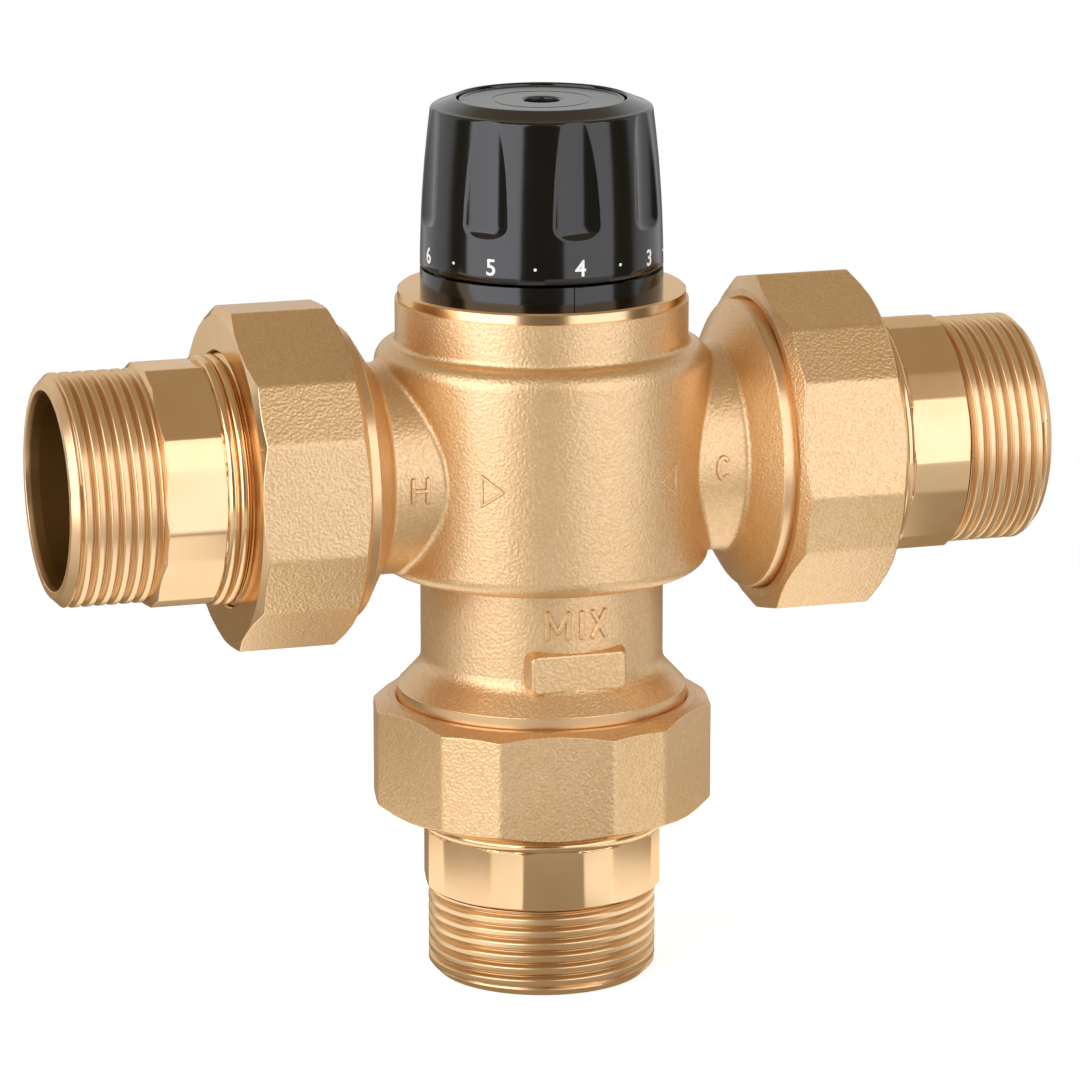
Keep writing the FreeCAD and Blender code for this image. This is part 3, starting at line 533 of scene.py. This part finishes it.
def add_thread(mesh, start, end, columns=144, per_pitch=18):
    """Closed threaded sleeve. Its inside lies a touch inside the tail's core."""
    pitch, inside = TAIL["pitch"], TAIL["core"] - 0.05
    rows = int((end - start) / pitch + 3) * per_pitch
    grid = []
    for i in range(columns):
        turn = 2 * math.pi * i / columns
        climb = pitch * i / columns
        profile = []
        for j in range(rows):
            s = min(max(start - 1.5 * pitch + pitch * j / per_pitch + climb, start), end)
            profile.append((thread_radius(s, start, (s - climb) / pitch), s))
        profile += [(inside, end), (inside, start)]
        grid.append([mesh.verts.new((r * math.cos(turn), r * math.sin(turn), s)) for r, s in profile])
    for i in range(columns):
        here, following = grid[i], grid[(i + 1) % columns]
        shift = per_pitch if i + 1 == columns else 0
        for j in range(rows - 1):
            if j + shift + 1 < rows:
                mesh.faces.new((here[j], following[j + shift], following[j + shift + 1], here[j + 1]))
        mesh.faces.new((here[rows - 1], following[rows - 1], following[rows], here[rows]))
        mesh.faces.new((here[rows], following[rows], following[rows + 1], here[rows + 1]))
        mesh.faces.new((here[rows + 1], following[rows + 1], following[0], here[0]))
    for face in mesh.faces:
        face.smooth = True


# %% Make the tailpieces
for branch, place in branches.items():
    mesh = bmesh.new()
    add_sweep(mesh, tail_section, flats_angles(TAIL["half"], TAIL["count"]), clocking[branch])
    tail = finish_piece(branch + "_tail", mesh, [machined_tail], "valve", place,
                        [branch + "_tailpiece"])
    mesh = bmesh.new()
    add_thread(mesh, 0.02, WRENCH_START)
    thread = finish_piece(branch + "_tail_thread", mesh, [machined_tail], "valve", place,
                          sharp=80.0, weighted=False)
    print(tail.name, len(tail.data.polygons), "faces;", thread.name, len(thread.data.polygons), "faces")

# %% [markdown]
# ## The knob
# The knob is a moulded cup with eight finger flutes. Each flute is the cut of a leaning round cutter with a
# rounded end. The outer wall is swept with a radius that takes whichever is smaller, the wall or the cutter,
# and a soft minimum breaks the edge between them as the mould does. Heights in the wall's profile are
# measured from the crossing of the axes.

# %% The knob's wall
KNOB_BOTTOM, KNOB_TOP = crossing + 35.9, crossing + 66.3
WALL = [(35.9, 22.0), (40.0, 21.93), (45.6, 21.73), (49.2, 21.53), (55.0, 21.1), (60.2, 20.57), (63.9, 20.13)]
CROWN = [(64.8, 19.5), (66.3, 15.75)]


def along(points, height):
    """Radius at a height on a profile of (height, radius) points."""
    for (z0, r0), (z1, r1) in zip(points, points[1:]):
        if height <= z1:
            t = (height - z0) / (z1 - z0)
            return r0 + (r1 - r0) * t
    return points[-1][1]


def wall_radius(height):
    """Outer wall without its flutes: a drafted wall, a rounded shoulder and a sloping crown."""
    h = height - crossing
    (shoulder, wall_end), (crown_start, crown_edge) = WALL[-1], CROWN[0]
    if h <= shoulder:
        return along(WALL, h)
    if h > crown_start:
        return along(CROWN, h)
    t = (h - shoulder) / (crown_start - shoulder)
    return wall_end - (wall_end - crown_edge) * (1 - math.sqrt(max(0.0, 1 - t * t)))


# %% The knob's flutes
FLUTES = 8
FLUTE = {"cutter": 11.3, "start": crossing + 46.6, "radius": 20.36, "lean": 0.67, "end_length": 2.9,
         "end_rise": 2.2}
PAST_WALL = 40.0


def flute_radius(angle, height):
    """Radius that the nearest flute's cutter leaves, or a large one past its side."""
    pitch = 360 / FLUTES
    away = math.radians((angle + 90 + pitch / 2) % pitch - pitch / 2)
    below = (FLUTE["start"] - height) / FLUTE["end_length"]
    if below >= 1:
        return PAST_WALL
    if below > 0:
        deep = FLUTE["radius"] + FLUTE["end_rise"] * (1 - math.sqrt(1 - below ** 2))
    else:
        deep = FLUTE["radius"] - FLUTE["lean"] * (height - FLUTE["start"]) / (KNOB_TOP - FLUTE["start"])
    distance = deep + FLUTE["cutter"]
    side = distance * math.sin(away)
    if FLUTE["cutter"] <= abs(side):
        return PAST_WALL
    return distance * math.cos(away) - math.sqrt(FLUTE["cutter"] ** 2 - side * side)


def soft_min(one, other, blend=0.12):
    """The smaller of two numbers, eased where they are nearly equal."""
    gap = max(blend - abs(one - other), 0.0) / blend
    return min(one, other) - gap * gap * blend / 4


# %% Knob section
# Rows stand close together where the flutes end and round the shoulder.
knob_heights = [KNOB_BOTTOM + rise for rise in (0.25, 1.5, 3.2, 5.0, 6.6, 7.6)]
knob_heights += [crossing + 43.7 + 0.2 * k for k in range(20)]
knob_heights += [crossing + 48.6 + 1.12 * k for k in range(13)]
knob_heights += [crossing + 62.9, crossing + 63.4]
knob_heights += [crossing + 63.9 + 0.9 * math.sin(math.radians(9 * k)) for k in range(11)]
knob_heights += [crossing + rise for rise in (65.1, 65.5, 65.9, 66.2)]
KNOB_INSIDE = {"recess": 15.3, "recess_depth": 1.5, "head": 3.3, "head_depth": 4.8, "screw": 2.1,
               "screw_depth": 7.3, "socket": 5.05, "hub": 7.2, "hub_end": crossing + 46.4,
               "roof": crossing + 61.5, "cavity": 16.8, "cavity_end": crossing + 44.9, "skirt": 19.9}


def knob_section(angle):
    """The outside from the bottom up, then the disc's recess, the screw's hole, the hub and the cavity."""
    inside = KNOB_INSIDE
    recess, head, screw = (KNOB_TOP - inside[name] for name in ("recess_depth", "head_depth", "screw_depth"))
    points = [(21.75, KNOB_BOTTOM, 0)]
    points += [(soft_min(wall_radius(h), flute_radius(angle, h)), h, 0) for h in knob_heights]
    points += [(CROWN[-1][1], KNOB_TOP, 0), (inside["recess"] + 0.15, KNOB_TOP - 0.08, 0),
               (inside["recess"], KNOB_TOP - 0.35, 0), (inside["recess"], recess, 0),
               (inside["head"], recess, 0), (inside["head"], head, 0),
               (inside["screw"], head, 0), (inside["screw"], screw, 0), (inside["socket"], screw, 0),
               (inside["socket"], inside["hub_end"], 0), (inside["hub"], inside["hub_end"], 0),
               (inside["hub"], inside["roof"], 0), (inside["cavity"], inside["roof"], 0),
               (inside["cavity"], inside["cavity_end"], 0), (inside["skirt"], inside["cavity_end"] - 3.0, 0),
               (inside["skirt"], KNOB_BOTTOM + 0.2, 0), (inside["skirt"] + 0.2, KNOB_BOTTOM, 0)]
    return points


# %% Make the knob
# Columns stand close together over a flute and wider on the land between two.
column_offsets = [-22.5 + 1.5 * k for k in range(5)]
column_offsets += [-15.5 + 0.62 * k for k in range(51)]
column_offsets += [16.5 + 1.5 * k for k in range(4)]
knob_angles = [-90 + 360 / FLUTES * flute + offset for flute in range(FLUTES) for offset in column_offsets]
mesh = bmesh.new()
add_sweep(mesh, knob_section, knob_angles)
knob = finish_piece("fluted_knob", mesh, [gloss_black], "knob_and_spindle", None, ["knob"],
                    sharp=50.0)
print(knob.name, len(knob.data.polygons), "faces")

# %% [markdown]
# ## Cap disc
# The disc in the knob's top is a separate, slightly duller piece with a hole for the screw. It is bare here,
# with only a raised rim and a shallow turned groove.

# %% Make the cap disc
# Radius, depth below the knob's top and rounding of each corner, from the outside inwards.
DISC = [(14.9, 1.5, 0), (14.9, 0.4, 0.15), (14.2, 0.4, 0.08), (14.1, 0.55, 0.08), (9.2, 0.55, 0.05),
        (9.1, 0.62, 0.05), (8.7, 0.62, 0.05), (8.6, 0.55, 0.05), (3.9, 0.55, 0.1), (3.2, 0.75, 0.1),
        (3.2, 1.5, 0)]


def cap_section(angle):
    return eased([(radius, KNOB_TOP - depth, 0, rounding) for radius, depth, rounding in DISC], 2)


mesh = bmesh.new()
add_sweep(mesh, cap_section, [360 * k / 144 for k in range(144)])
cap = finish_piece("cap_disc", mesh, [cap_black], "knob_and_spindle", None, ["knob_cap"])
print(cap.name, len(cap.data.polygons), "faces")

# %% [markdown]
# ## Printed figures and dots
# The scale is printed in white on the skirt: seven figures with a dot between each two, spaced a little
# closer than the flutes. A text object makes each figure. At this size a flat figure leaves the curved skirt
# by only 0.02 mm, so each is placed flat, a touch proud of the skirt, and turned to face outwards.

# %% Text as a mesh
CAPITAL_SHARE = 0.7


def text_mesh(words, height, thickness, weight):
    """A word as a mesh in millimetres, centred, its lines along X, upright in Y, its face towards Z."""
    curve = bpy.data.curves.new("word", "FONT")
    curve.body = words
    curve.size = height / CAPITAL_SHARE
    curve.align_x, curve.align_y = "CENTER", "CENTER"
    curve.extrude = thickness / 2
    curve.offset = weight
    curve.resolution_u = 6
    holder = bpy.data.objects.new("word", curve)
    bpy.context.scene.collection.objects.link(holder)
    bpy.context.view_layer.update()
    data = bpy.data.meshes.new_from_object(holder.evaluated_get(bpy.context.evaluated_depsgraph_get()))
    bpy.data.objects.remove(holder)
    mesh = bmesh.new()
    mesh.from_mesh(data)
    bpy.data.meshes.remove(data)
    low = Vector([min(v.co[i] for v in mesh.verts) for i in range(3)])
    high = Vector([max(v.co[i] for v in mesh.verts) for i in range(3)])
    centre = (low + high) / 2
    for vertex in mesh.verts:
        vertex.co = vertex.co - centre
    return mesh


# %% Figures and dots on the skirt
def merge(target, source, matrix):
    """Move a mesh into place and join it to another."""
    source.transform(matrix)
    data = bpy.data.meshes.new("moved")
    source.to_mesh(data)
    source.free()
    target.from_mesh(data)
    bpy.data.meshes.remove(data)


def on_skirt(angle, height, radius):
    """Local X runs round the skirt, Y up and Z outwards."""
    turn = Matrix.Rotation(math.radians(angle), 4, "Z")
    return turn @ Matrix.Translation((0, -radius, height)) @ Matrix.Rotation(math.pi / 2, 4, "X")


FIGURE_HEIGHT, INK, WEIGHT = 2.9, 0.16, 0.05
SCALE_PITCH, SCALE_TURN = 42.5, 0.9
scale = bmesh.new()
level = crossing + 38.95
for step in range(-3, 4):
    figure = text_mesh(str(4 - step), FIGURE_HEIGHT, INK, WEIGHT)
    merge(scale, figure, on_skirt(SCALE_TURN + SCALE_PITCH * step, level, wall_radius(level)))
for step in range(-3, 3):
    dot = bmesh.new()
    bmesh.ops.create_cone(dot, cap_ends=True, segments=20, radius1=0.3, radius2=0.27, depth=INK)
    merge(scale, dot, on_skirt(SCALE_TURN + SCALE_PITCH * (step + 0.5), level - 0.1, wall_radius(level)))
figures = finish_piece("printed_scale", scale, [print_white], "knob_and_spindle",
                       weighted=False)
print(figures.name, len(figures.data.polygons), "faces")

# %% [markdown]
# ## Cast marks
# The body carries raised marks from the mould: H and C for the hot and cold branches, MIX for the outlet, an
# arrow of flow beside each inlet, and a pad for the maker, which stays blank. Text from a font would have
# sharp sides, but metal that filled a groove in a mould has round ones. So each stroke is a low rounded
# ridge, drawn flat and then bent round the cylinder that it stands on.

# %% Bend a flat mark round a cylinder
def bend_mark(mesh, radius, axis, where):
    """Bend a mark drawn in X and Y, with Z outwards. The cylinder's axis is 'Z' or 'X', the front is -Y."""
    for vertex in mesh.verts:
        u, v, out = vertex.co
        reach = radius + out
        if axis == "Z":
            turn = (where[0] + u) / radius
            vertex.co = (reach * math.sin(turn), -reach * math.cos(turn), where[1] + v)
        else:
            turn = (where[1] - crossing + v) / radius
            vertex.co = (where[0] + u, -reach * math.cos(turn), crossing + reach * math.sin(turn))


# %% A rounded ridge
END_ANGLES = [math.radians(a) for a in (25, 50, 70, 82, 90)]
SHARES_ACROSS = (-1.0, -0.97, -0.75, -0.55, -0.45, 0.0, 0.45, 0.55, 0.75, 0.97, 1.0)
SUNK = -0.6


def add_ridge(mesh, path, half_width, height):
    """A low rounded ridge along a path of (u, v) points, with round ends, as a closed solid."""
    points = [Vector(p) for p in path]
    stations = []
    for i, point in enumerate(points):
        along_path = (points[min(i + 1, len(points) - 1)] - points[max(i - 1, 0)]).normalized()
        stations.append((point, along_path, 0.0))
    first, last = stations[0], stations[-1]
    stations = ([(first[0], first[1], -a) for a in reversed(END_ANGLES)] + stations
                + [(last[0], last[1], a) for a in END_ANGLES])
    rows = []
    for point, forward, turn in stations:
        sideways = Vector((-forward.y, forward.x))
        row = []
        for share in SHARES_ACROSS:
            ahead, aside = math.sin(turn), share * math.cos(turn)
            spot = point + forward * half_width * ahead + sideways * half_width * aside
            away = math.hypot(ahead, aside)
            level = height * min(1.0, 2.2 * (1 - away)) if away < 0.999 else SUNK
            row.append(mesh.verts.new((spot.x, spot.y, level)))
        rows.append(row)
    for row, following in zip(rows, rows[1:]):
        for k in range(len(SHARES_ACROSS) - 1):
            mesh.faces.new((row[k], following[k], following[k + 1], row[k + 1])).smooth = True
        mesh.faces.new((row[0], row[-1], following[-1], following[0]))
    mesh.faces.new(rows[0])
    mesh.faces.new(list(reversed(rows[-1])))


# %% Strokes of the marks
def stroke(start, end, step=0.7):
    """Points along a straight stroke, close enough to bend well."""
    count = max(2, round(math.dist(start, end) / step))
    return [(start[0] + (end[0] - start[0]) * k / count, start[1] + (end[1] - start[1]) * k / count)
            for k in range(count + 1)]


def strokes(*corners):
    """Straight strokes from corner to corner."""
    return [stroke(a, b) for a, b in zip(corners, corners[1:])]


letter_h = strokes((-1.35, -2.05), (-1.35, 2.05)) + strokes((1.35, -2.05), (1.35, 2.05))
letter_h += strokes((-1.35, 0), (1.35, 0))
turns = [math.radians(a) for a in range(50, 311, 13)]
letter_c = [[(0.3 + 1.0 * math.cos(a), 1.95 * math.sin(a)) for a in turns]]
letter_m = strokes((-5.7, -2.3), (-5.7, 2.3), (-3.8, -1.2), (-1.9, 2.3), (-1.9, -2.3))
letter_i = strokes((0.6, -2.3), (0.6, 2.3))
letter_x = strokes((2.7, -2.3), (5.2, 2.3)) + strokes((2.7, 2.3), (5.2, -2.3))
print("strokes in MIX", len(letter_m + letter_i + letter_x))

# %% Make the cast marks
BARREL, LOWER_NECK, BRANCH_NECK = 30.4, 22.2, 19.2


def cast_mark(name, paths, radius, axis, where, half_width, height):
    mesh = bmesh.new()
    for path in paths:
        add_ridge(mesh, path, half_width, height)
    bend_mark(mesh, radius, axis, where)
    mark = finish_piece(name, mesh, [body_finish], "valve", sharp=70.0, weighted=False)
    print(mark.name, len(mark.data.polygons), "faces")


for name, tip, base in (("hot_flow_arrow", -16.0, -20.0), ("cold_flow_arrow", 14.7, 18.5)):
    arrow = strokes((base, -2.7), (tip, 0.0), (base, 2.7), (base, -2.7))
    cast_mark(name, arrow, BARREL, "Z", (0, crossing + 0.2), 0.3, 0.3)
cast_mark("hot_letter", letter_h, BRANCH_NECK, "X", (-28.5, crossing - 0.2), 0.5, 0.42)
cast_mark("cold_letter", letter_c, BRANCH_NECK, "X", (28.1, crossing + 0.1), 0.5, 0.42)
cast_mark("mixed_word", letter_m + letter_i + letter_x, LOWER_NECK, "Z", (0, crossing - 26.2), 0.52, 0.5)

# %% [markdown]
# ## Blank pad
# The pad on the lower neck is flat in front, so its ends stand further out of the round neck than its
# middle. It is a box with rounded corners, drafted sides and a soft top edge, sunk into the neck.

# %% Make the pad
PAD_WIDTH, PAD_HEIGHT, PAD_CORNER, PAD_PLACE = 17.5, 6.9, 1.0, crossing - 35.0
# How far each ring lies inside the pad's outline, and how far out it stands, from the root to the face.
PAD_RINGS = ((-1.0, -3.0), (-0.85, -1.6), (-0.35, -0.3), (-0.12, 0.3), (0.0, 0.5), (0.14, 0.63), (0.4, 0.68))


def rounded_rectangle(width, height, corner, steps=6):
    """Points round a rectangle with round corners."""
    points = []
    for sx, sy, start in ((1, -1, -90), (1, 1, 0), (-1, 1, 90), (-1, -1, 180)):
        for k in range(steps + 1):
            turn = math.radians(start + 90 * k / steps)
            points.append((sx * (width / 2 - corner) + corner * math.cos(turn),
                           sy * (height / 2 - corner) + corner * math.sin(turn)))
    return points


pad = bmesh.new()
rings = []
for inset, out in PAD_RINGS:
    corner = max(0.4, PAD_CORNER - inset)
    outline = rounded_rectangle(PAD_WIDTH - 2 * inset, PAD_HEIGHT - 2 * inset, corner)
    rings.append([pad.verts.new((x, 0.15 - LOWER_NECK - out, PAD_PLACE + y)) for x, y in outline])
for ring, following in zip(rings, rings[1:]):
    for i in range(len(ring)):
        j = (i + 1) % len(ring)
        pad.faces.new((ring[i], ring[j], following[j], following[i])).smooth = True
pad.faces.new(rings[-1])
pad.faces.new(list(reversed(rings[0])))
blank = finish_piece("blank_pad", pad, [body_finish], "valve", sharp=60.0)
print(blank.name, len(blank.data.polygons), "faces")

# %% [markdown]
# ## Camera
# The camera stands a little to the hot side and above the inlets, with a long lens so that the three unions
# keep their proportions. It is moved a little sideways and down in its own plane, not turned, so that the
# valve stands in the middle and its upright lines keep their direction.

# %% Camera
azimuth, elevation = math.radians(-17.39), math.radians(13.69)
distance, aside, lower = 1.0735, 0.00029, 0.01516


def toward_camera(turn, lift):
    """Direction from the valve at an angle round it from the front and an angle up."""
    return Vector((math.sin(turn) * math.cos(lift), -math.cos(turn) * math.cos(lift), math.sin(lift)))


toward = toward_camera(azimuth, elevation)
across = Vector((math.cos(azimuth), math.sin(azimuth), 0))
upward = toward.cross(across)
lens = bpy.data.cameras.new("camera")
lens.lens, lens.sensor_width = 196.67, 36.0
lens.clip_start, lens.clip_end = 0.05, 20.0
camera = bpy.data.objects.new("camera", lens)
camera.location = Vector((0, 0, crossing * MM)) + toward * distance - across * aside - upward * lower
camera.rotation_mode = "QUATERNION"
camera.rotation_quaternion = (-toward).to_track_quat("-Z", "Y")
bpy.context.scene.collection.objects.link(camera)
bpy.context.scene.camera = camera
print("camera at", [round(v, 4) for v in camera.location])

# %% [markdown]
# ## Soft boxes
# Brass shows what stands round it. Two tall soft boxes stand in front, left and right, with a darker gap
# between them. That gives the cylinders their light and dark bands. Rectangle lamps do this with less noise
# than glowing planes would. Both are slightly cool, against the warm room, and the left one is brighter.

# %% Soft boxes
def soft_box(name, around, up, away, width, height, brightness):
    """A rectangle lamp, placed by angles from the camera's side, that faces the valve."""
    direction = toward_camera(azimuth + math.radians(around), math.radians(up))
    lamp = bpy.data.lights.new(name, "AREA")
    lamp.shape, lamp.size, lamp.size_y = "RECTANGLE", width, height
    lamp.energy = brightness * math.pi * width * height
    lamp.color = (0.975, 0.985, 1.05)
    box = bpy.data.objects.new(name, lamp)
    box.location = Vector((0, 0, crossing * MM)) + direction * away
    box.rotation_mode = "QUATERNION"
    box.rotation_quaternion = direction.to_track_quat("Z", "Y")
    bpy.context.scene.collection.objects.link(box)
    print(name, round(lamp.energy, 2), "W")


soft_box("left_box", -47, 14, 0.95, 1.05, 1.2, 2.35)
soft_box("right_box", 46, 14, 0.98, 0.98, 1.2, 1.5)

# %% [markdown]
# ## The room
# The brass also mirrors the room. It is pale behind the valve, dark and a little warm in front, dim overhead,
# and darker again low down straight behind, where the table would be. Walls and a ceiling made of planes
# would do it too, but a few masks of the direction give plain, soft shapes that are easy to adjust. The
# camera itself sees plain white.

# %% World
world = bpy.data.worlds.new("studio")
bpy.context.scene.world = world
studio = Finish("studio", world)
direction = studio.node("TexCoord", {}, {})[0]
dx, dy, dz = studio.node("SeparateXYZ", {}, {"Vector": direction})
back = dx * -math.sin(azimuth) + dy * math.cos(azimuth)
low_behind = back.ramp(0.82, 0.95) * dz.ramp(0.03, -0.08)
behind = back.ramp(0.03, 0.24) * (1 - low_behind * 0.85)
overhead = dz.ramp(0.42, 0.66)
room = studio.blend(behind, (0.15, 0.12, 0.085), (0.82, 0.82, 0.82))
room = studio.blend(overhead, room, (0.42, 0.34, 0.24))
seen = studio.node("LightPath", {}, {})[0]
lit = studio.node("Background", {}, {"Color": room, "Strength": 1.0})[0]
white = studio.node("Background", {}, {"Color": (1.0, 1.0, 1.0, 1.0), "Strength": 1.0})[0]
picked = studio.node("MixShader", {}, {0: seen, 1: lit, 2: white})[0]
studio.node("OutputWorld", {}, {"Surface": picked})
bpy.context.scene.view_settings.view_transform = "Standard"
print("world nodes", len(studio.tree.nodes))

# %% [markdown]
# ## The floor
# The floor is a pale disc that takes the valve's soft shadow near its foot and turns plain white further out,
# so that its edge doesn't show. Brass over a white floor would turn blank. So mirrored rays see another
# floor: dim and warm round the foot, paler further away, dim again behind, and bright under the two side
# unions, whose undersides need light.

# %% Floor
FLOOR_RADIUS, FLOOR_EDGES = 0.42, 72
floor_finish = Finish("pale_floor")
x, y = floor_finish.place()[1:3]
from_foot = (x * x + y * y).root()
plain = floor_finish.node("BsdfDiffuse", {}, {"Color": (0.86, 0.89, 0.94, 1.0)})[0]
glow = floor_finish.node("Emission", {}, {"Color": (1.0, 1.0, 1.0, 1.0), "Strength": 0.6})[0]
near = floor_finish.node("AddShader", {}, {0: plain, 1: glow})[0]
white = floor_finish.node("Emission", {}, {"Color": (1.0, 1.0, 1.0, 1.0), "Strength": 1.0})[0]
shown = floor_finish.node("MixShader", {}, {0: from_foot.ramp(0.16, 0.36), 1: near, 2: white})[0]
tint = floor_finish.blend(from_foot.ramp(0.10, 0.26) * 0.5, (0.29, 0.25, 0.19), (1.0, 1.0, 1.0))
tint = floor_finish.blend(y.ramp(0.05, 0.13), tint, (0.22, 0.18, 0.13))
under_unions = x.size().ramp(0.030, 0.040) * x.size().ramp(0.100, 0.084)
under_unions = under_unions * y.ramp(-0.15, -0.08) * y.ramp(0.10, 0.06)
tint = floor_finish.blend(under_unions, tint, (1.0, 0.98, 0.95))
card = floor_finish.node("Emission", {}, {"Color": tint, "Strength": 1.3})[0]
mirrored = floor_finish.node("LightPath", {}, {})[3]
picked = floor_finish.node("MixShader", {}, {0: mirrored, 1: shown, 2: card})[0]
floor_finish.node("OutputMaterial", {}, {"Surface": picked})
turns = [2 * math.pi * k / FLOOR_EDGES for k in range(FLOOR_EDGES)]
sheet = bpy.data.meshes.new("floor")
rim = [(FLOOR_RADIUS * math.cos(turn), FLOOR_RADIUS * math.sin(turn), 0) for turn in turns]
sheet.from_pydata(rim, [], [tuple(range(FLOOR_EDGES))])
sheet.materials.append(floor_finish.material)
floor = bpy.data.objects.new("floor", sheet)
floor.location.z = -0.00005
bpy.context.scene.collection.objects.link(floor)
print("floor", 2 * FLOOR_RADIUS, "m across")
